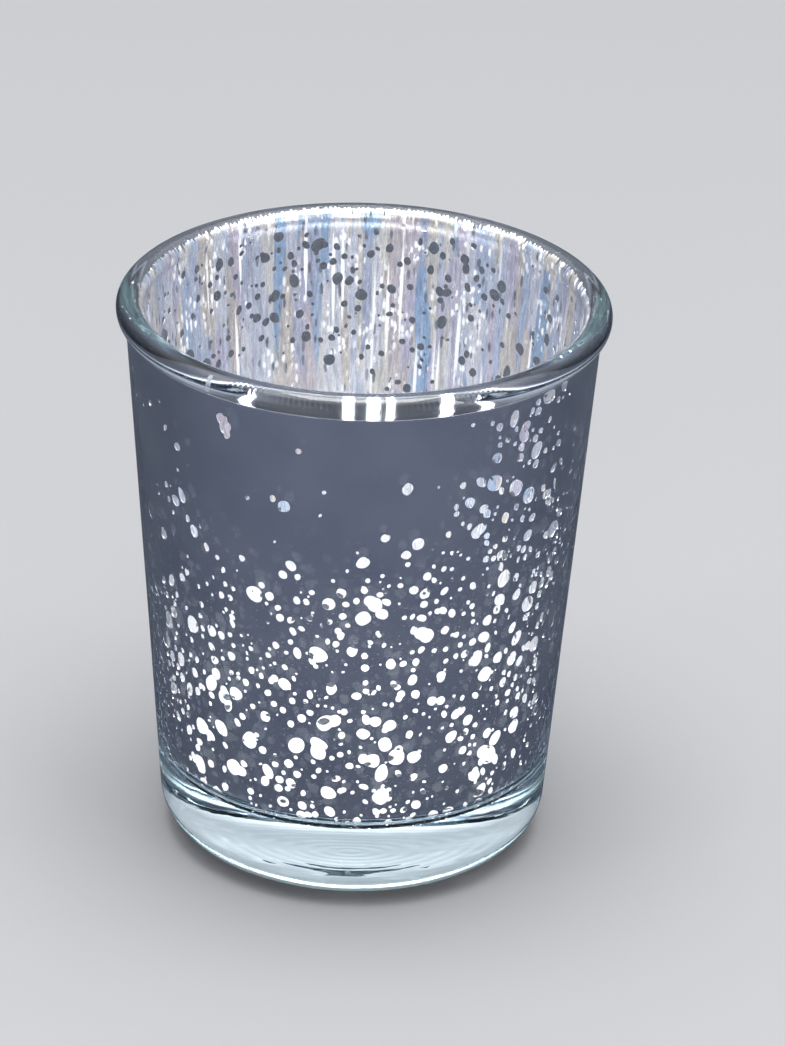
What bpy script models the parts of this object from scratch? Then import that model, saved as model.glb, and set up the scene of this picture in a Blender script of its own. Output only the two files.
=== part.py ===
"""Tealight holder: a pressed-glass cup, silvered inside, with a clear topcoat over the silver.

Run with: blender --background --python part.py
Metres, +Z up. The origin is the centre of the ring that the cup stands on, and +Z is the cup's axis.
The silver film and the topcoat are far thinner on the real cup, and are drawn here as thin solid skins.
"""

from math import atan2, cos, degrees, hypot, radians, sin, tan

import bmesh
import bpy

# Cup, outside
HEIGHT = 0.0664
RIM_RADIUS = 0.0280
BEAD_TUBE = 0.00136            # radius of the round rim bead's section
NECK_FILLET = 0.0010           # hollow curve between the bead and the wall below it
WALL_TOP_RADIUS = 0.02702      # outer wall, at the height of the bead's centre
BASE_RADIUS = 0.02249          # outer wall, where the base corner starts
BASE_CORNER = 0.00488

# Underside
FOOT_RADIUS = BASE_RADIUS - BASE_CORNER
RECESS_RADIUS = 0.0145
RECESS_DEPTH = 0.00025

# Cup, inside
FLOOR_HEIGHT = 0.0093
FLOOR_CORNER = 0.0024
BORE_DRAFT = radians(4.6)      # lean of the inner wall from upright

# Skins inside the cup
SKIN_GAP = 0.0003              # clearance between neighbouring solids
FILM_THICKNESS = 0.0002
TOPCOAT_THICKNESS = 0.0002
SKIN_TOP_ANGLE = 150.0         # where the skins end on the inner side of the rim bead, in degrees

SEGMENTS = 72                  # steps round the axis
CORNER_STEPS = 5
BEAD_STEPS = 6                 # for a quarter turn
FLANK_STEPS = 2
RECESS_STEPS = 4
WELD_DISTANCE = 0.000001

BEAD_CENTRE = (RIM_RADIUS - BEAD_TUBE, HEIGHT - BEAD_TUBE)


def arc(centre, radius, start, end, steps):
    """Points (r, z) on a circle from start to end, both in degrees."""
    points = []
    for step in range(steps + 1):
        angle = radians(start + (end - start) * step / steps)
        points.append((centre[0] + radius * cos(angle), centre[1] + radius * sin(angle)))
    return points


def neck_centre(wall_lean):
    """Centre of the hollow fillet that touches both the leaning outer wall and the rim bead."""
    normal = (cos(wall_lean), -sin(wall_lean))
    along = (sin(wall_lean), cos(wall_lean))
    start = (WALL_TOP_RADIUS + NECK_FILLET * normal[0], BEAD_CENTRE[1] + NECK_FILLET * normal[1])
    to_bead = (start[0] - BEAD_CENTRE[0], start[1] - BEAD_CENTRE[1])
    half_b = to_bead[0] * along[0] + to_bead[1] * along[1]
    reach = BEAD_TUBE + NECK_FILLET
    below = -half_b - (half_b ** 2 - hypot(*to_bead) ** 2 + reach ** 2) ** 0.5
    return start[0] + below * along[0], start[1] + below * along[1]


def outside_path():
    """The cup's outline from the axis under the base, up the outer wall, to the top of the rim bead."""
    wall_lean = atan2(WALL_TOP_RADIUS - BASE_RADIUS, BEAD_CENTRE[1] - BASE_CORNER)
    lean = degrees(wall_lean)
    neck = neck_centre(wall_lean)
    bead_side = degrees(atan2(neck[1] - BEAD_CENTRE[1], neck[0] - BEAD_CENTRE[0]))

    recess = []
    for step in range(RECESS_STEPS + 1):
        share = step / RECESS_STEPS
        recess.append((RECESS_RADIUS * share, RECESS_DEPTH * (1.0 - share ** 2)))
    base_corner = arc((FOOT_RADIUS, BASE_CORNER), BASE_CORNER, -90.0, -lean, CORNER_STEPS + 1)
    fillet = arc(neck, NECK_FILLET, 180.0 - lean, 180.0 + bead_side, 2)
    bead_under = arc(BEAD_CENTRE, BEAD_TUBE, bead_side, 0.0, BEAD_STEPS // 2)
    bead_over = arc(BEAD_CENTRE, BEAD_TUBE, 0.0, 90.0, BEAD_STEPS)
    bead_inner = arc(BEAD_CENTRE, BEAD_TUBE, 90.0, SKIN_TOP_ANGLE, BEAD_STEPS // 2 + 1)
    return recess + base_corner + fillet + bead_under[1:] + bead_over[1:] + bead_inner[1:-1]


def inside_path(offset):
    """The cup's inner outline, moved into the cup by offset: bead flank, wall, floor corner, floor."""
    corner_height = FLOOR_HEIGHT + FLOOR_CORNER
    drop = BEAD_CENTRE[1] - corner_height
    corner_radius = BEAD_CENTRE[0] - (BEAD_TUBE + FLOOR_CORNER) / cos(BORE_DRAFT) - drop * tan(BORE_DRAFT)
    lean = degrees(BORE_DRAFT)

    flank = arc(BEAD_CENTRE, BEAD_TUBE + offset, SKIN_TOP_ANGLE, 180.0 - lean, FLANK_STEPS)
    corner = arc((corner_radius, corner_height), FLOOR_CORNER - offset, -lean, -90.0, CORNER_STEPS)
    return flank + corner + [(0.0, FLOOR_HEIGHT + offset)]


def turned(name, outline, material):
    """Turn an outline whose two ends lie on the axis into a closed solid of revolution."""
    mesh = bpy.data.meshes.new(name)
    bm = bmesh.new()
    verts = [bm.verts.new((radius, 0.0, height)) for radius, height in outline]
    edges = [bm.edges.new(pair) for pair in zip(verts, verts[1:])]
    bmesh.ops.spin(
        bm, geom=verts + edges, cent=(0.0, 0.0, 0.0), axis=(0.0, 0.0, 1.0),
        angle=radians(360.0), steps=SEGMENTS, use_merge=True,
    )
    bmesh.ops.remove_doubles(bm, verts=bm.verts, dist=WELD_DISTANCE)
    bmesh.ops.recalc_face_normals(bm, faces=bm.faces)
    bm.to_mesh(mesh)
    bm.free()
    mesh.shade_smooth()
    mesh.set_sharp_from_angle(angle=radians(35.0))
    mesh.materials.append(material)
    piece = bpy.data.objects.new(name, mesh)
    bpy.context.scene.collection.objects.link(piece)
    return piece


def skin(name, clearance, thickness, material):
    """A thin cup-shaped solid that follows the inside of the glass at the given clearance."""
    outer_side = inside_path(clearance)
    inner_side = inside_path(clearance + thickness)
    return turned(name, outer_side[::-1] + inner_side, material)


def finish(name, colour, roughness, metallic=0.0, transmission=0.0):
    """A Principled BSDF material."""
    material = bpy.data.materials.new(name)
    material.use_nodes = True
    shader = material.node_tree.nodes["Principled BSDF"]
    shader.inputs["Base Color"].default_value = (*colour, 1.0)
    shader.inputs["Roughness"].default_value = roughness
    shader.inputs["Metallic"].default_value = metallic
    shader.inputs["Transmission Weight"].default_value = transmission
    material.diffuse_color = (*colour, 1.0 - 0.6 * transmission)
    return material


def glass_cup():
    """Pressed clear glass: thick base with a shallow recess under it, leaning wall, round rim bead."""
    clear_glass = finish("clear_glass", (0.88, 0.94, 0.94), 0.03, transmission=1.0)
    return turned("glass_cup", outside_path() + inside_path(0.0), clear_glass)


def mirror_film():
    """Silver mirror film on the inside of the wall and the floor."""
    silver = finish("speckled_silver", (0.78, 0.79, 0.84), 0.08, metallic=1.0)
    return skin("mirror_film", SKIN_GAP, FILM_THICKNESS, silver)


def clear_topcoat():
    """Clear coat that seals the silver film against wax and cleaning."""
    lacquer = finish("clear_lacquer", (0.95, 0.95, 0.93), 0.12, transmission=1.0)
    clearance = 2.0 * SKIN_GAP + FILM_THICKNESS
    return skin("clear_topcoat", clearance, TOPCOAT_THICKNESS, lacquer)


def main():
    for old in list(bpy.data.objects):
        bpy.data.objects.remove(old)
    glass_cup()
    mirror_film()
    clear_topcoat()


main()
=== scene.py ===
"""Looks of the tealight holder: a pressed-glass cup with a speckled mirror film inside, under a clear coat.

Metres, +Z up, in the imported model's frame: the cup stands on z = 0 and its axis is +Z.
Azimuths on the cup are in degrees, 0 at the front (-Y) and growing towards +X.
"""

import random
from math import atan2, cos, degrees, exp, pi, radians, sin, tan

import bpy
import numpy as np
from mathutils import Matrix, Vector
from mathutils.geometry import delaunay_2d_cdt


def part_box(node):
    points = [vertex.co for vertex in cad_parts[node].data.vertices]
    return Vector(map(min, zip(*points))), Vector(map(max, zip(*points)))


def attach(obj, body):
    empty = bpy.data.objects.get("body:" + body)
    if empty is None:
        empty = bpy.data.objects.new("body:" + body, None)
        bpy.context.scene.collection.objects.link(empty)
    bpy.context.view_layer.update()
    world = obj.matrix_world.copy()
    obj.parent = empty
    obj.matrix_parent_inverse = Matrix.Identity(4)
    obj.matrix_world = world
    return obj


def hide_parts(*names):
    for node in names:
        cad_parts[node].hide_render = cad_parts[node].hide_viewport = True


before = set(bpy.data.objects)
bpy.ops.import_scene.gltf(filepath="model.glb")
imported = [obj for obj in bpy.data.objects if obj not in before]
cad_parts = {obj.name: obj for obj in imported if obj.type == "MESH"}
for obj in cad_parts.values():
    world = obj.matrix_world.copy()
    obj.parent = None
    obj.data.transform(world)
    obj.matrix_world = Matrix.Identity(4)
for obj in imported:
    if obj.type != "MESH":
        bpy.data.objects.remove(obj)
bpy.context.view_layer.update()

MM = 0.001

# The cup, as in the CAD model
GLASS_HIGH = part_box("glass_cup")[1]
HEIGHT = GLASS_HIGH.z
RIM_RADIUS = GLASS_HIGH.x
BEAD_TUBE = 1.36 * MM
NECK_FILLET = 1.0 * MM
WALL_TOP_RADIUS = 27.02 * MM
BASE_RADIUS = 22.49 * MM
BASE_CORNER = 4.88 * MM
FOOT_RADIUS = BASE_RADIUS - BASE_CORNER
RECESS_RADIUS = 14.5 * MM
RECESS_DEPTH = 0.25 * MM
FLOOR_HEIGHT = 9.3 * MM
FLOOR_CORNER = 2.4 * MM
BORE_DRAFT = radians(4.6)
BEAD_CENTRE = (RIM_RADIUS - BEAD_TUBE, HEIGHT - BEAD_TUBE)

# The rim bead bulges a little into the cup, and eases into the wall below it
RIM_BULGE = 0.35 * MM
BULGE_FILLET = 2.0 * MM
INNER_BEAD = (BEAD_CENTRE[0] - RIM_BULGE, BEAD_CENTRE[1])

# Depths of the film's and the coat's two sides, measured from the glass into the cup
FILM_OUTER = -0.05 * MM        # just inside the glass, so that no air shows between
FILM_INNER = 0.03 * MM
COAT_OUTER = 0.06 * MM
COAT_INNER = 0.11 * MM

# The film's top edge on the rim bead's inner side, in degrees: 90 is the bead's top
FILM_EDGE_ANGLE = 126.0
FILM_EDGE_RISE = 22.0          # how much nearer to the top it lies at the back
COAT_ABOVE_FILM = 6.0
EDGE_TIPS = 300

# Meshes
GLASS_SEGMENTS = 288
COAT_SEGMENTS = 180
DISC_CORNERS = 96
FLOOR_STEP = 1.5 * MM          # steps of the glass's and the coat's outline
WALL_STEP = 1.2 * MM
GLASS_BEND_STEP = 0.12 * MM
COAT_BEND_STEP = 0.2 * MM
FILM_GRID = 1.4 * MM           # spacing of the film's points on floor and wall
BEAD_GRID = 0.6 * MM           # and round the rim bead
BEND_GRID = 0.25 * MM          # and up the bends
DROP_POINT_GAP = 0.20 * MM
SLIVER_AREA = 1e-13            # square metres
CRUMB_AREA = 0.05 * MM ** 2
SEED = 11

# Droplet holes
MOST_CROWDED = 0.6             # drops per square millimetre
FLOOR_CROWDING = 0.07
LOW_DROP = 0.34                # median radii in mm, here low on the wall in front
LOW_DROP_BEHIND = 0.26
HIGH_DROP = 0.38
FLOOR_DROP = 0.4
SMALLEST_DROP = 0.14 * MM
LARGEST_DROP = 1.0 * MM
DROP_SPREAD = 0.52             # how widely the radii vary, as the spread of their logarithm
DROPS_APART = 0.15 * MM
MERGED_SHARE = 0.12            # share of drops that may run into a neighbour

# Waves of the pressed glass: height in mm, waves round the cup, radians per metre upwards, phase
GLASS_WAVES = ((0.018, 3, 40.0, 0.4), (0.012, 5, -70.0, 2.1), (0.006, 11, 160.0, 1.3), (0.008, 2, 210.0, 0.0))
RING_HEIGHT = 0.006            # mould rings under the base, in mm
RING_PERIOD = 1.35 * MM

# Camera, at the photo's viewing angle
CAMERA_PITCH = radians(26.36)
CAMERA_ROLL = radians(-1.72)
CAMERA_DISTANCE = 0.6228
CAMERA_LENS = 185.8
CAMERA_AIM = Vector((0.0, 0.0, 0.033))
CAMERA_SIDE_STEP = 3.88 * MM
CAMERA_UP_STEP = 4.49 * MM

# Light: the sky's colours by elevation in degrees, the windows' azimuths in degrees and widths in metres
SKY_COLOURS = (
    (0, (0.05, 0.055, 0.065)), (12, (0.10, 0.11, 0.12)), (28, (0.17, 0.18, 0.20)),
    (45, (0.44, 0.46, 0.50)), (60, (0.92, 0.93, 0.96)), (90, (1.0, 1.0, 1.0)),
)
SKY_STRENGTH = 3.6
SKY_STRENGTH_NEAR = 0.8        # low down on the camera's side
OVERHEAD_POWER = 14.0
WINDOWS = ((-58, 0.09), (-6, 0.07), (6, 0.085), (14, 0.05), (42, 0.09), (64, 0.09))
WINDOW_HEIGHT = 0.45
WINDOW_ELEVATION = 22
WINDOW_DISTANCE = 0.9
WINDOW_RADIANCE = 6.0


# ---------------------------------------------------------------- shapes

def arc(centre, radius, start, end, steps):
    """Points (r, z) on a circle from start to end, both in degrees."""
    angles = np.radians(np.linspace(start, end, steps + 1))
    return np.column_stack((centre[0] + radius * np.cos(angles), centre[1] + radius * np.sin(angles)))


def line(start, end, steps):
    """Points (r, z) on a straight line."""
    shares = np.linspace(0.0, 1.0, steps + 1)[:, None]
    return np.array(start) * (1.0 - shares) + np.array(end) * shares


class Bore:
    """The cup's inner surface, as a path from the centre of the floor up to the top of the rim bead.

    Along it, s is the distance from the floor's centre, r and z the place and n the normal into the cup.
    """

    def __init__(self, steps=400):
        lean = degrees(BORE_DRAFT)
        corner_z = FLOOR_HEIGHT + FLOOR_CORNER
        corner_r = BEAD_CENTRE[0] - (BEAD_TUBE + FLOOR_CORNER) / cos(BORE_DRAFT)
        corner_r -= (BEAD_CENTRE[1] - corner_z) * tan(BORE_DRAFT)
        corner_centre = np.array((corner_r, corner_z))

        into_cup = np.array((-cos(BORE_DRAFT), sin(BORE_DRAFT)))
        up_wall = np.array((sin(BORE_DRAFT), cos(BORE_DRAFT)))
        aside = BEAD_TUBE - RIM_BULGE + BULGE_FILLET
        below = ((BEAD_TUBE + BULGE_FILLET) ** 2 - aside ** 2) ** 0.5
        to_fillet = into_cup * aside - up_wall * below
        fillet_centre = INNER_BEAD + to_fillet
        turn = degrees(atan2(to_fillet[1], to_fillet[0])) % 360.0

        floor = line((0.0, FLOOR_HEIGHT), (corner_r, FLOOR_HEIGHT), steps)
        corner = arc(corner_centre, FLOOR_CORNER, -90.0, -lean, steps // 4)
        fillet = arc(fillet_centre, BULGE_FILLET, -lean, turn - 180.0, steps // 8)
        bead = arc(INNER_BEAD, BEAD_TUBE, turn, 90.0, steps // 4)
        wall = line(corner[-1], fillet[0], steps)
        path = np.concatenate((floor, corner[1:], wall[1:], fillet[1:], bead[1:]))
        normals = np.concatenate((
            np.tile((0.0, 1.0), (len(floor), 1)),
            (corner_centre - corner[1:]) / FLOOR_CORNER,
            np.tile(into_cup, (len(wall) - 1, 1)),
            (fillet_centre - fillet[1:]) / BULGE_FILLET,
            (bead[1:] - INNER_BEAD) / BEAD_TUBE,
        ))
        self.r, self.z = path.T
        self.nr, self.nz = normals.T
        steps_s = np.hypot(*np.diff(path, axis=0).T)
        self.s = np.concatenate(((0.0,), np.cumsum(steps_s)))
        self.length = self.s[-1]
        self.floor_edge = corner_r
        self.wall_end = self.s[len(floor) + len(corner) + len(wall) - 3]

        # A flat map that keeps angles: the floor at its own size, the wall fanned out round it
        beyond = self.s > corner_r
        growth = np.where(beyond[1:], steps_s / np.maximum(self.r[1:], 1e-9), 0.0)
        fanned_out = corner_r * np.exp(np.concatenate(((0.0,), np.cumsum(growth))))
        self.map_radius = np.where(beyond, fanned_out, self.s)

    def at(self, s):
        """Radius and height at s."""
        return np.interp(s, self.s, self.r), np.interp(s, self.s, self.z)

    def s_at_height(self, z):
        """Distance along the path of a height on the wall."""
        wall = self.s > self.floor_edge
        return np.interp(z, self.z[wall], self.s[wall])

    def s_on_bead(self, angle):
        """Distance along the path of an angle on the rim bead, in degrees: 90 is the top."""
        return self.length - BEAD_TUBE * np.radians(angle - 90.0)

    def to_map(self, theta, s):
        """Place on the flat map of a place on the surface."""
        rho = np.interp(s, self.s, self.map_radius)
        return rho * np.cos(theta), rho * np.sin(theta)

    def from_map(self, x, y):
        """Place on the surface, as angle and s, of a place on the flat map."""
        return np.arctan2(y, x), np.interp(np.hypot(x, y), self.map_radius, self.s)

    def place(self, theta, s, depth):
        """Points on the surface, moved into the cup by depth, and their normals into the cup."""
        r, z = self.at(s)
        nr, nz = np.interp(s, self.s, self.nr), np.interp(s, self.s, self.nz)
        out = r + depth * nr
        points = np.column_stack((out * np.cos(theta), out * np.sin(theta), z + depth * nz))
        normals = np.column_stack((nr * np.cos(theta), nr * np.sin(theta), nz))
        return points, normals / np.linalg.norm(normals, axis=1)[:, None]

    def outline(self, depth, stations):
        """The path as (r, z) points at the given distances, moved into the cup by depth."""
        r, z = self.at(stations)
        nr, nz = np.interp(stations, self.s, self.nr), np.interp(stations, self.s, self.nz)
        return np.column_stack((r + depth * nr, z + depth * nz))


def stations(bore, top, floor_step, wall_step, bend_step):
    """Distances along the bore's path up to top, close together where it bends."""
    corner_end = bore.floor_edge + FLOOR_CORNER * (pi / 2 - BORE_DRAFT)
    runs = (
        (0.0, bore.floor_edge, floor_step),
        (bore.floor_edge, corner_end, bend_step),
        (corner_end, bore.wall_end, wall_step),
        (bore.wall_end, top, bend_step),
    )
    found = []
    for low, high, step in runs:
        found.append(np.linspace(low, high, max(2, round((high - low) / step)), endpoint=False))
    return np.concatenate(found + [(top,)])


def outside_path():
    """The cup's outline from the axis under the base, up the outer wall, to the top of the rim bead."""
    wall_lean = atan2(WALL_TOP_RADIUS - BASE_RADIUS, BEAD_CENTRE[1] - BASE_CORNER)
    lean = degrees(wall_lean)
    along = np.array((sin(wall_lean), cos(wall_lean)))
    outwards = np.array((cos(wall_lean), -sin(wall_lean)))
    start = np.array((WALL_TOP_RADIUS, BEAD_CENTRE[1])) + NECK_FILLET * outwards
    to_bead = start - BEAD_CENTRE
    half_b = to_bead @ along
    below = -half_b - (half_b ** 2 - to_bead @ to_bead + (BEAD_TUBE + NECK_FILLET) ** 2) ** 0.5
    neck = start + below * along
    bead_side = degrees(atan2(neck[1] - BEAD_CENTRE[1], neck[0] - BEAD_CENTRE[0]))

    shares = np.linspace(0.0, 1.0, 40)
    recess = np.column_stack((RECESS_RADIUS * shares, RECESS_DEPTH * (1.0 - shares ** 2)))
    corner = arc((FOOT_RADIUS, BASE_CORNER), BASE_CORNER, -90.0, -lean, 24)
    fillet = arc(neck, NECK_FILLET, 180.0 - lean, 180.0 + bead_side, 6)
    wall = line(corner[-1], fillet[0], 60)
    bead = arc(BEAD_CENTRE, BEAD_TUBE, bead_side, 90.0, 40)
    return np.concatenate((recess, corner, wall[1:-1], fillet, bead[1:]))


def glass_waves(theta, r, z):
    """How far the pressed outer surface stands off its true shape, in metres: slow waves and mould rings."""
    wave = 0.0
    for height, turns, upwards, phase in GLASS_WAVES:
        wave = wave + height * np.sin(turns * theta + upwards * z + phase)
    from_axis = np.clip(r / FOOT_RADIUS, 0.0, 1.0) ** 2
    under = np.clip(1.0 - z / (2.5 * MM), 0.0, 1.0)
    rings = RING_HEIGHT * np.sin(2 * pi * r / RING_PERIOD) * under
    return (wave * from_axis + rings) * MM


def lathe(name, outline, segments, waves=None, wavy_points=0):
    """Turns an outline with both ends on the axis into a closed mesh. The first wavy_points get waves."""
    theta = np.arange(segments) * 2 * pi / segments
    rings = outline[1:-1]
    r = np.repeat(rings[:, 0], segments)
    z = np.repeat(rings[:, 1], segments)
    t = np.tile(theta, len(rings))
    if waves is not None:
        tangent = np.gradient(outline, axis=0)[1:-1]
        normal = np.column_stack((tangent[:, 1], -tangent[:, 0]))
        normal /= np.linalg.norm(normal, axis=1)[:, None]
        fade = np.clip((wavy_points - np.arange(len(rings))) / 12.0, 0.0, 1.0)
        lift = waves(t, r, z) * np.repeat(fade, segments)
        r = r + lift * np.repeat(normal[:, 0], segments)
        z = z + lift * np.repeat(normal[:, 1], segments)
    verts = np.column_stack((r * np.cos(t), r * np.sin(t), np.maximum(z, 0.0) if waves else z))
    ends = [(0.0, 0.0, outline[0][1]), (0.0, 0.0, outline[-1][1])]
    verts = np.concatenate((verts, ends))

    first_pole, last_pole = len(verts) - 2, len(verts) - 1
    faces = []
    for ring in range(len(rings) - 1):
        for step in range(segments):
            nxt = (step + 1) % segments
            low, high = ring * segments, (ring + 1) * segments
            faces.append((low + step, low + nxt, high + nxt, high + step))
    last = (len(rings) - 1) * segments
    for step in range(segments):
        nxt = (step + 1) % segments
        faces.append((first_pole, nxt, step))
        faces.append((last_pole, last + step, last + nxt))
    mesh = bpy.data.meshes.new(name)
    mesh.from_pydata(verts.tolist(), [], faces)
    mesh.shade_smooth()
    piece = bpy.data.objects.new(name, mesh)
    bpy.context.scene.collection.objects.link(piece)
    return piece


# ---------------------------------------------------------------- droplet holes in the film

# Large splashes: azimuth, height in mm, radius in mm, stretch along the wall, tilt in degrees
SPLASHES = (
    (44, 17.0, 1.15, 1.2, 30), (46, 19.0, 0.85, 1.3, -40), (41.5, 17.8, 0.8, 1.0, 0),
    (47, 16.0, 0.55, 1.6, 10), (60, 50.0, 0.42, 3.0, 12), (58.5, 52.2, 0.5, 1.7, -45),
    (62, 52.4, 0.42, 2.0, 30), (-52, 48.4, 0.72, 1.7, 20), (-50, 45.8, 0.4, 1.3, 0),
    (33, 47.8, 0.85, 1.5, -55), (16, 47.3, 0.72, 1.1, 0), (41, 61.0, 0.8, 1.9, -8),
    (45, 59.3, 0.75, 1.5, -35), (-36, 60.5, 0.75, 1.1, 60), (-19, 51.4, 0.72, 1.1, -50),
    (-7, 39.6, 0.75, 1.1, -30), (4, 40.2, 0.72, 1.0, 0), (20, 35.2, 0.85, 1.1, 0),
    (-9.6, 20.0, 0.95, 1.4, 15), (9, 17.4, 0.9, 1.8, -10), (-6.5, 14.6, 0.85, 1.2, 60),
    (-25, 16.2, 0.75, 1.6, 20), (-26, 14.8, 0.6, 1.3, -20), (-41, 20.0, 0.9, 1.4, 30),
    (-44, 25.5, 0.95, 1.5, -25), (-42, 27.0, 0.7, 1.3, 0), (13, 46.0, 0.55, 1.0, 0),
)

# Where drops gather in the sparse upper part: azimuth, height, half-widths in degrees and mm, strength
GATHERINGS = (
    (50, 59.0, 13.0, 5.0, 0.50), (33, 52.0, 12.0, 4.0, 0.35), (-12, 53.0, 12.0, 3.5, 0.06),
    (-50, 46.0, 12.0, 6.0, 0.14), (180, 59.5, 65.0, 5.0, 0.42), (160, 50.0, 20.0, 5.0, 0.20),
    (-150, 54.0, 24.0, 6.0, 0.25), (100, 54.0, 20.0, 6.0, 0.22),
)


def wall_density(azimuth, height):
    """Drops per square millimetre of wall. Most are low, and fewer of them on the far side."""
    crowded_below = 48.0 + 10.0 * sin(radians(azimuth))
    low = np.clip((crowded_below - height) / 9.0, 0.0, 1.0)
    behind = np.clip((abs(azimuth) - 80.0) / 40.0, 0.0, 1.0)
    density = 0.03 + 0.44 * low * low * (3 - 2 * low) * (1.0 - 0.65 * behind)
    for centre, level, spread, rise, strength in GATHERINGS:
        off = (azimuth - centre + 180.0) % 360.0 - 180.0
        density += strength * exp(-(off / spread) ** 2 - ((height - level) / rise) ** 2)
    return min(density, MOST_CROWDED)


def drop_outline(bore, rng, theta, s, radius, stretch, tilt):
    """The outline of one droplet hole, as arrays of theta and s: a stretched circle with a wobble."""
    count = int(np.clip(2 * pi * radius * max(1.0, stretch ** 0.5) / DROP_POINT_GAP, 7, 30))
    phi = np.linspace(0.0, 2 * pi, count, endpoint=False) + rng.random()
    size = np.ones(count)
    for order, share in ((2, 0.06), (3, 0.05), (4, 0.03)):
        size += share * rng.random() * np.sin(order * phi + rng.uniform(0.0, 2 * pi))
    across = radius * size * np.cos(phi) / stretch ** 0.5
    along = radius * size * np.sin(phi) * stretch ** 0.5
    across, along = across * cos(tilt) - along * sin(tilt), across * sin(tilt) + along * cos(tilt)
    if s < bore.floor_edge:
        x, y = s * cos(theta) + across, s * sin(theta) + along
        return np.arctan2(y, x), np.hypot(x, y)
    where = s + along
    return theta + across / bore.at(where)[0], where


def drops(bore, rng, edge_s):
    """Every droplet hole: the large splashes, then drops scattered over wall and floor."""
    made, places = [], []

    def crowds(theta, s, radius):
        others = np.array(places)
        turn = (others[:, 0] - theta + pi) % (2 * pi) - pi
        apart = np.hypot(turn * bore.at(s)[0], others[:, 1] - s)
        return bool(np.any(apart < others[:, 2] + radius + DROPS_APART))

    def make(theta, s, radius, stretch, tilt):
        if s + radius * 1.8 < edge_s - 0.1 * MM:
            made.append(drop_outline(bore, rng, theta, s, radius, stretch, tilt))
            places.append((theta, s, radius))

    def scatter(theta, s, median):
        radius = np.clip(median * exp(rng.gauss(0.0, DROP_SPREAD)), SMALLEST_DROP, LARGEST_DROP)
        stretch, tilt = 1.0 + abs(rng.gauss(0.0, 0.28)), rng.gauss(0.0, 0.5)
        for _ in range(4):
            if not crowds(theta, s, radius) or rng.random() < MERGED_SHARE:
                make(theta, s, radius, stretch, tilt)
                break
            theta += rng.gauss(0.0, 1.0 * MM) / max(bore.at(s)[0], 1.0 * MM)
            s += rng.gauss(0.0, 1.0 * MM)

    for azimuth, height, radius, stretch, tilt in SPLASHES:
        make(radians(azimuth - 90), bore.s_at_height(height * MM), radius * MM, stretch, radians(tilt))
    widest = bore.at(edge_s)[0]
    tries = int(MOST_CROWDED * 2 * pi * widest * (edge_s - bore.floor_edge) / MM ** 2)
    for _ in range(tries):
        azimuth = rng.uniform(-180.0, 180.0)
        s = rng.uniform(bore.floor_edge, edge_s)
        r, z = bore.at(s)
        if rng.random() * MOST_CROWDED * widest < wall_density(azimuth, z / MM) * r:
            low = LOW_DROP if abs(azimuth) < 90.0 else LOW_DROP_BEHIND
            scatter(radians(azimuth - 90), s, np.interp(z / MM, (48.0, 60.0), (low, HIGH_DROP)) * MM)
    for _ in range(int(FLOOR_CROWDING * pi * (bore.floor_edge / MM) ** 2)):
        scatter(rng.uniform(0.0, 2 * pi), bore.floor_edge * rng.random() ** 0.5, FLOOR_DROP * MM)
    return made


def jagged_edge(bore, rng):
    """The film's top edge, of narrow tips and nicks, which are deeper and nearer the top at the back."""
    theta, s = [], []
    pitch = 2 * pi / EDGE_TIPS
    for tip in range(EDGE_TIPS):
        start = (tip + rng.uniform(-0.22, 0.22)) * pitch
        wide = rng.uniform(0.30, 0.62) * pitch
        behind = max(0.0, sin(start)) ** 2
        uneven = 0.03 + 0.97 * (0.5 + 0.5 * sin(start)) ** 1.4
        slow = 2.5 * sin(5 * start + 1.0) + 2.0 * sin(13 * start)
        top = bore.s_on_bead(FILM_EDGE_ANGLE - FILM_EDGE_RISE * behind + slow)
        top -= 0.45 * uneven * rng.random() ** 2 * MM
        nick = uneven * (0.30 + 0.90 * rng.random() ** 3) * MM
        lean = rng.uniform(-0.3, 0.3) * wide
        theta += [start, start + 0.5 * wide, start + wide, start + wide + 0.16 * pitch + lean]
        s += [top - 0.25 * nick, top, top - rng.uniform(0.1, 0.3) * nick, top - nick]
    return np.array(theta), np.array(s)


def film_grid(bore, edge_theta, edge_s):
    """Points spread over the surface below the film's edge, so that its triangles follow the curves."""
    theta, s = [np.zeros(1)], [np.zeros(1)]
    rows = stations(bore, edge_s.max(), FILM_GRID, FILM_GRID, BEND_GRID)
    for index, row in enumerate(rows[1:]):
        spacing = FILM_GRID if row < bore.wall_end else BEAD_GRID
        count = max(6, round(2 * pi * float(bore.at(row)[0]) / spacing))
        around = (np.arange(count) + 0.5 * (index % 2)) * 2 * pi / count
        inside = row < np.interp(around, edge_theta, edge_s, period=2 * pi) - 0.2 * MM
        theta.append(around[inside])
        s.append(np.full(inside.sum(), row))
    return np.concatenate(theta), np.concatenate(s)


def kept_islands(triangles, area):
    """Leaves out crumbs of film that droplet holes cut off from the rest."""
    parent = list(range(int(triangles.max()) + 1))

    def root(i):
        while parent[i] != i:
            parent[i] = parent[parent[i]]
            i = parent[i]
        return i

    for a, b, c in triangles.tolist():
        ra, rb = root(a), root(b)
        parent[rb] = ra
        parent[root(c)] = root(ra)
    roots = np.array([root(i) for i in triangles[:, 0].tolist()])
    sums = np.bincount(roots, weights=area)
    return triangles[sums[roots] > CRUMB_AREA]


def open_edges(triangles):
    """The edges that only one triangle has, each in that triangle's direction."""
    edges = {}
    for a, b, c in triangles.tolist():
        for edge in ((a, b), (b, c), (c, a)):
            edges[edge] = True
    return [(a, b) for a, b in edges if (b, a) not in edges]


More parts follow.
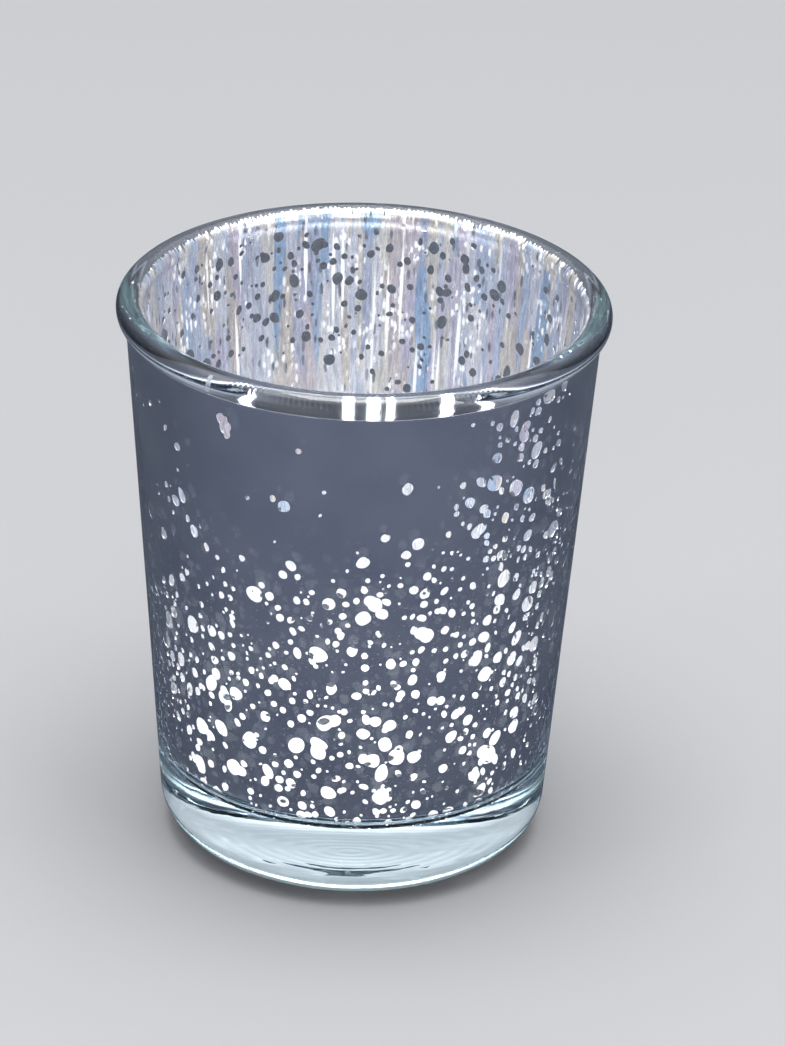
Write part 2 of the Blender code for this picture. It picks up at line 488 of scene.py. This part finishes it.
def take_fan(left, triangles, v):
    """Takes from left one fan: the triangles round corner v that hang together by their edges."""
    fan = [left.pop()]
    reach = set(triangles[fan[0]].tolist()) - {v}
    grew = True
    while grew:
        grew = False
        for index in list(left):
            corners = set(triangles[index].tolist()) - {v}
            if corners & reach:
                reach |= corners
                fan.append(index)
                left.remove(index)
                grew = True
    return fan


def split_pinches(triangles, count):
    """Gives each fan of triangles its own corner where two holes touch in one point."""
    triangles = triangles.copy()
    starts = {}
    for a, _ in open_edges(triangles):
        starts[a] = starts.get(a, 0) + 1
    around = {v: [] for v, times in starts.items() if times > 1}
    for index, triangle in enumerate(triangles.tolist()):
        for v in triangle:
            if v in around:
                around[v].append(index)
    copies = []
    for v, left in sorted(around.items()):
        take_fan(left, triangles, v)
        while left:
            for index in take_fan(left, triangles, v):
                triangles[index][triangles[index] == v] = count + len(copies)
            copies.append(v)
    return triangles, copies


def film_triangles(bore, outlines, grid):
    """Fills the flat map between the film's edge, the holes and the grid: theta, s and triangles."""
    points, faces = [], []
    for theta, s in outlines:
        x, y = bore.to_map(theta, s)
        corners = list(range(len(points), len(points) + len(x)))
        turns_left = np.sum(x * np.roll(y, -1) - y * np.roll(x, -1)) > 0
        faces.append(corners if turns_left else corners[::-1])
        points += zip((x / MM).tolist(), (y / MM).tolist())
    x, y = bore.to_map(*grid)
    points += zip((x / MM).tolist(), (y / MM).tolist())

    flat, _, made, _, _, owners = delaunay_2d_cdt([Vector(p) for p in points], [], faces, 0, 1e-5, True)
    flat = np.array([tuple(p) for p in flat]) * MM
    triangles = np.array([face for face, owner in zip(made, owners) if list(owner) == [0]])
    theta, s = bore.from_map(flat[:, 0], flat[:, 1])
    corners = bore.place(theta, s, 0.0)[0][triangles]
    area = np.linalg.norm(np.cross(corners[:, 1] - corners[:, 0], corners[:, 2] - corners[:, 0]), axis=1) / 2
    triangles = kept_islands(triangles[area > SLIVER_AREA], area[area > SLIVER_AREA])
    triangles, copies = split_pinches(triangles, len(theta))
    theta = np.concatenate((theta, theta[copies]))
    s = np.concatenate((s, s[copies]))
    used, triangles = np.unique(triangles, return_inverse=True)
    return theta[used], s[used], triangles.reshape(-1, 3)


def wall_normals(points, walls):
    """The normals of the thin four-cornered faces that join the film's two sides."""
    walls = np.array(walls)
    along = points[walls[:, 1]] - points[walls[:, 0]]
    deep = points[walls[:, 2]] - points[walls[:, 1]]
    normals = np.cross(along, deep)
    return normals / np.maximum(np.linalg.norm(normals, axis=1), 1e-12)[:, None]


def mirror_film(glass_side, cup_side):
    """The silver film as a closed skin with real droplet holes, laid over the cup's whole inside."""
    bore = Bore()
    rng = random.Random(SEED)
    edge_theta, edge_s = jagged_edge(bore, rng)
    outlines = [(edge_theta, edge_s)] + drops(bore, rng, float(edge_s.min()))
    theta, s, triangles = film_triangles(bore, outlines, film_grid(bore, edge_theta, edge_s))

    inner, normals = bore.place(theta, s, FILM_INNER)
    outer, _ = bore.place(theta, s, FILM_OUTER)
    points = np.concatenate((inner, outer))
    count = len(theta)
    walls = [(b, a, a + count, b + count) for a, b in open_edges(triangles)]
    faces = triangles.tolist() + (triangles[:, ::-1] + count).tolist() + walls

    mesh = bpy.data.meshes.new("mirror_film_speckled")
    mesh.from_pydata(points.tolist(), [], faces)
    mesh.materials.append(glass_side)
    mesh.materials.append(cup_side)
    slots = np.zeros(len(faces), np.int32)
    slots[:len(triangles)] = 1
    mesh.polygons.foreach_set("material_index", slots)
    mesh.shade_smooth()
    loops = np.concatenate((
        normals[triangles.reshape(-1)],
        -normals[triangles[:, ::-1].reshape(-1)],
        np.repeat(wall_normals(points, walls), 4, axis=0),
    ))
    mesh.normals_split_custom_set(loops.tolist())
    piece = bpy.data.objects.new("mirror_film_speckled", mesh)
    bpy.context.scene.collection.objects.link(piece)
    return piece


def glass_cup(material):
    """The pressed glass: base, leaning wall and rim bead in one closed mesh."""
    bore = Bore()
    outside = outside_path()
    marks = stations(bore, bore.length, FLOOR_STEP, WALL_STEP, GLASS_BEND_STEP)
    outline = np.concatenate((outside, bore.outline(0.0, marks)[::-1]))
    piece = lathe("glass_cup_fine", outline, GLASS_SEGMENTS, glass_waves, len(outside) - 8)
    piece.data.materials.append(material)
    return piece


def clear_topcoat(material):
    """The clear coat: a thin closed skin over the film, which ends on the bead just above the film's edge."""
    bore = Bore()
    top = bore.s_on_bead(FILM_EDGE_ANGLE - FILM_EDGE_RISE - COAT_ABOVE_FILM)
    marks = stations(bore, top, FLOOR_STEP, WALL_STEP, COAT_BEND_STEP)
    outline = np.concatenate((bore.outline(COAT_OUTER, marks), bore.outline(COAT_INNER, marks)[::-1]))
    piece = lathe("clear_topcoat_fine", outline, COAT_SEGMENTS)
    piece.data.materials.append(material)
    return piece


# ---------------------------------------------------------------- materials

def add(tree, kind, sockets=None, **settings):
    """Adds a node. sockets maps an input's name or number to a value, or to another node's output."""
    made = tree.nodes.new(kind)
    for name, value in settings.items():
        setattr(made, name, value)
    for name, value in (sockets or {}).items():
        if isinstance(value, bpy.types.NodeSocket):
            tree.links.new(value, made.inputs[name])
        else:
            made.inputs[name].default_value = value
    return made


def ramp(tree, factor, stops):
    """A colour ramp; stops are (position, (r, g, b))."""
    made = add(tree, "ShaderNodeValToRGB", {"Fac": factor})
    elements = made.color_ramp.elements
    while len(elements) < len(stops):
        elements.new(0.5)
    for element, (position, colour) in zip(elements, stops):
        element.position = position
        element.color = (*colour, 1.0)
    return made.outputs["Color"]


def new_material(name):
    """An empty node material and its output node."""
    material = bpy.data.materials.new(name)
    material.use_nodes = True
    tree = material.node_tree
    tree.nodes.clear()
    return material, tree, add(tree, "ShaderNodeOutputMaterial")


def cup_coordinates(tree, around, along):
    """Seamless texture coordinates round the cup: cells 1/around radians wide and 1/along metres tall."""
    place = add(tree, "ShaderNodeTexCoord").outputs["Object"]
    parts = add(tree, "ShaderNodeSeparateXYZ", {0: place}).outputs
    flat = add(tree, "ShaderNodeCombineXYZ", {0: parts[0], 1: parts[1]}).outputs[0]
    circle = add(tree, "ShaderNodeVectorMath", {0: flat}, operation="NORMALIZE").outputs[0]
    wide = add(tree, "ShaderNodeVectorMath", {0: circle, "Scale": around}, operation="SCALE").outputs[0]
    tall = add(tree, "ShaderNodeMath", {0: parts[2], 1: along}, operation="MULTIPLY").outputs[0]
    lift = add(tree, "ShaderNodeCombineXYZ", {2: tall}).outputs[0]
    return add(tree, "ShaderNodeVectorMath", {0: wide, 1: lift}, operation="ADD").outputs[0]


def noise(tree, vector, scale=1.0, detail=2.0, roughness=0.5):
    """Soft noise from 0 to 1."""
    return add(tree, "ShaderNodeTexNoise", {
        "Vector": vector, "Scale": scale, "Detail": detail, "Roughness": roughness,
    }).outputs["Fac"]


def clear_glass():
    """Soda-lime glass, fire-polished, with a faint blue-green tint where it is thick."""
    material, tree, output = new_material("clear_glass")
    place = add(tree, "ShaderNodeTexCoord").outputs["Object"]
    ripple = noise(tree, place, 260.0, 2.0)
    bump = add(tree, "ShaderNodeBump", {"Strength": 1.0, "Distance": 0.02 * MM, "Height": ripple}).outputs[0]
    shader = add(tree, "ShaderNodeBsdfPrincipled", {
        "Base Color": (1.0, 1.0, 1.0, 1.0), "Roughness": 0.0, "IOR": 1.52,
        "Transmission Weight": 1.0, "Normal": bump,
    })
    tint = add(tree, "ShaderNodeVolumeAbsorption", {"Color": (0.77, 0.92, 0.92, 1.0), "Density": 17.0})
    tree.links.new(shader.outputs[0], output.inputs["Surface"])
    tree.links.new(tint.outputs[0], output.inputs["Volume"])
    return material


def cells(tree, vector, wander):
    """Cells with uneven borders: the distance from a cell's centre, and the cell's random number."""
    shift = add(tree, "ShaderNodeTexNoise", {"Vector": vector, "Scale": 1.7, "Detail": 3.0}).outputs["Color"]
    shift = add(tree, "ShaderNodeVectorMath", {0: shift, "Scale": wander}, operation="SCALE").outputs[0]
    moved = add(tree, "ShaderNodeVectorMath", {0: vector, 1: shift}, operation="ADD").outputs[0]
    pattern = add(tree, "ShaderNodeTexVoronoi", {"Vector": moved, "Scale": 1.0}).outputs
    return pattern["Distance"], add(tree, "ShaderNodeSeparateColor", {0: pattern["Color"]}).outputs[0]


def between(tree, value, low, high):
    """0 below low, 1 above high, and smooth between; low may be the larger."""
    made = add(tree, "ShaderNodeMapRange", {0: value, 1: low, 2: high}, interpolation_type="SMOOTHSTEP")
    return made.outputs[0]


def from_to(tree, share, at_none, at_full):
    """A value that goes from at_none to at_full as share goes from 0 to 1."""
    return add(tree, "ShaderNodeMapRange", {0: share, 3: at_none, 4: at_full}).outputs[0]


def product(tree, first, second):
    """Two values multiplied."""
    return add(tree, "ShaderNodeMath", {0: first, 1: second}, operation="MULTIPLY").outputs[0]


def larger(tree, first, second):
    """The larger of two values."""
    return add(tree, "ShaderNodeMath", {0: first, 1: second}, operation="MAXIMUM").outputs[0]


def mixed(tree, share, first, second, blend="MIX"):
    """Two colours mixed, all of the second at a share of 1."""
    made = add(tree, "ShaderNodeMix", {0: share, 6: first, 7: second}, data_type="RGBA", blend_type=blend)
    return made.outputs[2]


def spots(tree, around, along, wander, edges, chances):
    """A mask of scattered spots: edges say where a spot fades out, chances which cells have one."""
    away, chance = cells(tree, cup_coordinates(tree, around, along), wander)
    return product(tree, between(tree, away, *edges), between(tree, chance, *chances))


def height_on_cup(tree):
    """The height above the table, in metres."""
    place = add(tree, "ShaderNodeTexCoord").outputs["Object"]
    return add(tree, "ShaderNodeSeparateXYZ", {0: place}).outputs[2]


def silver_against_glass():
    """The film's smooth side, seen through the glass: a mirror with blooms, thin misty spots and pin-dots."""
    material, tree, output = new_material("silver_against_glass")
    bloom = noise(tree, add(tree, "ShaderNodeTexCoord").outputs["Object"], 120.0, 4.0)
    colour = ramp(tree, bloom, ((0.3, (0.66, 0.69, 0.77)), (0.7, (0.84, 0.86, 0.91))))
    mist = spots(tree, 12.0, 480.0, 0.5, (0.40, 0.24), (0.48, 0.60))
    dots = spots(tree, 42.0, 1800.0, 0.2, (0.30, 0.16), (0.55, 0.75))
    low_down = between(tree, height_on_cup(tree), 52.0 * MM, 34.0 * MM)
    dull = product(tree, larger(tree, mist, dots), low_down)
    metal = from_to(tree, dull, 1.0, 0.70)
    rough = from_to(tree, dull, 0.05, 0.22)
    shader = add(tree, "ShaderNodeBsdfPrincipled", {
        "Base Color": colour, "Metallic": metal, "Roughness": rough,
    })
    tree.links.new(shader.outputs[0], output.inputs["Surface"])
    return material


def painted_reflection_tints(tree):
    """Painted reflections in upright bands, tinted blue, white, cream, brown, pink and grey-blue."""
    # painted reflections: each band gets one tint from the ramp below
    _, run = cells(tree, cup_coordinates(tree, 17.0, 66.0), 0.55)
    return ramp(tree, run, (
        (0.07, (0.50, 0.66, 0.86)), (0.17, (0.74, 0.81, 0.94)), (0.32, (0.90, 0.92, 0.98)),
        (0.46, (1.00, 1.00, 1.00)), (0.62, (0.98, 0.93, 0.82)), (0.74, (0.84, 0.76, 0.69)),
        (0.85, (0.90, 0.81, 0.90)), (0.95, (0.64, 0.69, 0.82)),
    ))


def painted_highlights_and_light(tree):
    """A mask of painted highlights and painted light, in matt white: sparkles in patches, upright glints, and
    light low in the cup.
    """
    patch = noise(tree, cup_coordinates(tree, 5.0, 130.0), 1.0, 1.0)
    # painted highlights: white sparkles, only inside the patches
    sparkle_highlights = spots(tree, 52.0, 900.0, 0.6, (0.55, 0.35), (0.45, 0.60))
    sparkle_highlights = product(tree, sparkle_highlights, between(tree, patch, 0.50, 0.56))
    # painted highlights: upright glints
    glints = spots(tree, 46.0, 70.0, 0.5, (0.52, 0.36), (0.88, 0.90))
    # painted light: white low in the cup, where light falls in from above, fading out between 20 and 36 mm
    painted_light_low = between(tree, height_on_cup(tree), 36.0 * MM, 20.0 * MM)
    return larger(tree, larger(tree, sparkle_highlights, glints), from_to(tree, painted_light_low, 0.0, 0.85))


def silver_inside():
    """The film's cup side: satin silver with dashes, under painted reflections in tinted bands and streaks,
    and painted highlights and light in matt white.
    """
    material, tree, output = new_material("silver_inside")
    fine = noise(tree, cup_coordinates(tree, 75.0, 380.0), 1.0, 3.0, 0.6)
    # painted reflections: fine upright streaks, from grey to white, multiplied into the colour; the same
    # noise also gives bump and roughness
    painted_streak_reflections = ramp(tree, fine, ((0.36, (0.66, 0.68, 0.72)), (0.54, (1.0, 1.0, 1.0))))
    dashes = spots(tree, 34.0, 420.0, 0.4, (0.34, 0.22), (0.60, 0.68))
    # painted highlights and painted light: where this mask is full the film is matt white
    white = painted_highlights_and_light(tree)
    # painted reflections: the tinted bands multiplied by the painted streaks
    colour = mixed(tree, 1.0, painted_reflection_tints(tree), painted_streak_reflections, "MULTIPLY")
    colour = mixed(tree, dashes, colour, (0.30, 0.32, 0.38, 1.0))
    # painted highlights and painted light laid over in white
    colour = mixed(tree, white, colour, (1.0, 1.0, 1.0, 1.0))

    broad = noise(tree, cup_coordinates(tree, 26.0, 130.0), 1.0, 3.0, 0.55)
    height = add(tree, "ShaderNodeMath", {0: fine, 1: 0.2, 2: broad}, operation="MULTIPLY_ADD").outputs[0]
    bump = add(tree, "ShaderNodeBump", {"Strength": 1.0, "Distance": 0.06 * MM, "Height": height}).outputs[0]
    rough = add(tree, "ShaderNodeMapRange", {0: fine, 1: 0.3, 2: 0.7, 3: 0.34, 4: 0.22}).outputs[0]
    # under the painted highlights and light the film is not metal but matt white
    shader = add(tree, "ShaderNodeBsdfPrincipled", {
        "Base Color": colour, "Metallic": from_to(tree, white, 0.86, 0.0), "Roughness": rough, "Normal": bump,
    })
    tree.links.new(shader.outputs[0], output.inputs["Surface"])
    return material


def clear_lacquer():
    """Thin clear coat: lets everything through and adds a soft gloss."""
    material, tree, output = new_material("clear_lacquer")
    waves = noise(tree, cup_coordinates(tree, 14.0, 60.0), 1.0, 2.0)
    bump = add(tree, "ShaderNodeBump", {"Strength": 1.0, "Distance": 0.05 * MM, "Height": waves}).outputs[0]
    through = add(tree, "ShaderNodeBsdfTransparent").outputs[0]
    gloss = add(tree, "ShaderNodeBsdfGlossy", {"Roughness": 0.06, "Normal": bump}).outputs[0]
    edge_on = add(tree, "ShaderNodeLayerWeight", {"Blend": 0.5, "Normal": bump}).outputs["Facing"]
    steep = add(tree, "ShaderNodeMath", {0: edge_on, 1: 5.0}, operation="POWER").outputs[0]
    share = add(tree, "ShaderNodeMath", {0: steep, 1: 0.55, 2: 0.02}, operation="MULTIPLY_ADD").outputs[0]
    both = add(tree, "ShaderNodeMixShader", {0: share, 1: through, 2: gloss}).outputs[0]
    tree.links.new(both, output.inputs["Surface"])
    return material


def plain(name, colour, roughness):
    """One even colour, for the stage."""
    material, tree, output = new_material(name)
    shader = add(tree, "ShaderNodeBsdfPrincipled", {"Base Color": (*colour, 1.0), "Roughness": roughness})
    tree.links.new(shader.outputs[0], output.inputs["Surface"])
    return material


def dark_cloth():
    """Dark cloth, with painted light and shade: lighter on the camera's side of the cup, darker behind it."""
    material, tree, output = new_material("cloth_dark")
    place = add(tree, "ShaderNodeTexCoord").outputs["Object"]
    depth = add(tree, "ShaderNodeSeparateXYZ", {0: place}).outputs[1]
    # painted light and shade: lighter towards the camera, darker behind the cup
    near = between(tree, depth, 60.0 * MM, -110.0 * MM)
    colour = ramp(tree, near, ((0.0, (0.015, 0.020, 0.031)), (1.0, (0.031, 0.037, 0.055))))
    shader = add(tree, "ShaderNodeBsdfPrincipled", {"Base Color": colour, "Roughness": 0.9})
    tree.links.new(shader.outputs[0], output.inputs["Surface"])
    return material


# ---------------------------------------------------------------- stage

def disc(name, radius, height, material):
    """A flat round sheet of the stage."""
    mesh = bpy.data.meshes.new(name)
    turns = np.linspace(0.0, 2 * pi, DISC_CORNERS, endpoint=False)
    corners = [(radius * cos(turn), radius * sin(turn), height) for turn in turns]
    mesh.from_pydata(corners, [], [tuple(range(DISC_CORNERS))])
    mesh.materials.append(material)
    sheet = bpy.data.objects.new(name, mesh)
    bpy.context.scene.collection.objects.link(sheet)
    return sheet


def stage():
    """A pale floor, and a dark cloth in its place that only the glass and the mirror see."""
    floor = disc("floor", 4.5, -0.4 * MM, plain("floor_pale", (0.25, 0.25, 0.255), 0.6))
    floor.visible_glossy = False
    floor.visible_transmission = False
    cloth = disc("dark_cloth", 1.5, -0.2 * MM, dark_cloth())
    cloth.visible_camera = False
    cloth.visible_diffuse = False
    cloth.visible_shadow = False


def area_light(name, azimuth, elevation, distance, size, power):
    """A soft box that faces the cup. Azimuth 0 is behind the camera."""
    turn, rise = radians(azimuth - 90), radians(elevation)
    lamp = bpy.data.lights.new(name, "AREA")
    lamp.shape = "RECTANGLE"
    lamp.size, lamp.size_y = size
    lamp.energy = power
    holder = bpy.data.objects.new(name, lamp)
    way = Vector((cos(turn) * cos(rise), sin(turn) * cos(rise), sin(rise)))
    holder.location = CAMERA_AIM + way * distance
    holder.rotation_mode = "QUATERNION"
    holder.rotation_quaternion = way.to_track_quat("Z", "Y")
    bpy.context.scene.collection.objects.link(holder)


def sky():
    """Soft light from all round: brightest overhead, and low down darker on the camera's side."""
    world = bpy.data.worlds.new("soft_studio")
    bpy.context.scene.world = world
    world.use_nodes = True
    tree = world.node_tree
    tree.nodes.clear()
    way = add(tree, "ShaderNodeTexCoord").outputs["Generated"]
    parts = add(tree, "ShaderNodeSeparateXYZ", {0: way}).outputs
    stops = [(sin(radians(elevation)), colour) for elevation, colour in SKY_COLOURS]
    near_side = between(tree, parts[1], 0.1, -0.5)
    low = between(tree, parts[2], sin(radians(56)), sin(radians(36)))
    strength = from_to(tree, product(tree, near_side, low), SKY_STRENGTH, SKY_STRENGTH_NEAR)
    light = add(tree, "ShaderNodeBackground", {"Color": ramp(tree, parts[2], stops), "Strength": strength})
    output = add(tree, "ShaderNodeOutputWorld")
    tree.links.new(light.outputs[0], output.inputs["Surface"])


def lights():
    """The sky, a broad soft box overhead and a row of tall windows on the camera's side."""
    sky()
    area_light("overhead", 0, 84, 1.2, (0.7, 0.7), OVERHEAD_POWER)
    for azimuth, width in WINDOWS:
        power = WINDOW_RADIANCE * pi * width * WINDOW_HEIGHT
        size = (width, WINDOW_HEIGHT)
        area_light(f"window_{azimuth}", azimuth, WINDOW_ELEVATION, WINDOW_DISTANCE, size, power)


def camera():
    """Looks along +Y and down, a little to the side of the axis and slightly rolled."""
    right = Vector((1.0, 0.0, 0.0))
    ahead = Vector((0.0, cos(CAMERA_PITCH), -sin(CAMERA_PITCH)))
    up = Vector((0.0, sin(CAMERA_PITCH), cos(CAMERA_PITCH)))
    side = right * cos(CAMERA_ROLL) - up * sin(CAMERA_ROLL)
    top = right * sin(CAMERA_ROLL) + up * cos(CAMERA_ROLL)
    lens = bpy.data.cameras.new("camera")
    lens.lens = CAMERA_LENS
    lens.sensor_width = 36.0
    holder = bpy.data.objects.new("camera", lens)
    turn = Matrix((side, top, -ahead)).transposed().to_4x4()
    spot = CAMERA_AIM - ahead * CAMERA_DISTANCE + right * CAMERA_SIDE_STEP + up * CAMERA_UP_STEP
    holder.matrix_world = Matrix.Translation(spot) @ turn
    bpy.context.scene.collection.objects.link(holder)
    bpy.context.scene.camera = holder


def settle_render():
    """Enough bounces for light that goes round inside the silvered cup."""
    cycles = bpy.context.scene.cycles
    cycles.max_bounces = 32
    cycles.glossy_bounces = 24
    cycles.transmission_bounces = 24
    cycles.transparent_max_bounces = 48
    bpy.context.scene.view_settings.view_transform = "Standard"


def main():
    camera()
    stage()
    lights()
    settle_render()
    for piece, node, slot in (
        (glass_cup(clear_glass()), "glass_cup", "clear_glass"),
        (mirror_film(silver_against_glass(), silver_inside()), "mirror_film", "speckled_silver"),
        (clear_topcoat(clear_lacquer()), "clear_topcoat", "clear_lacquer"),
    ):
        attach(piece, "root")
        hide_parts(node)


main()
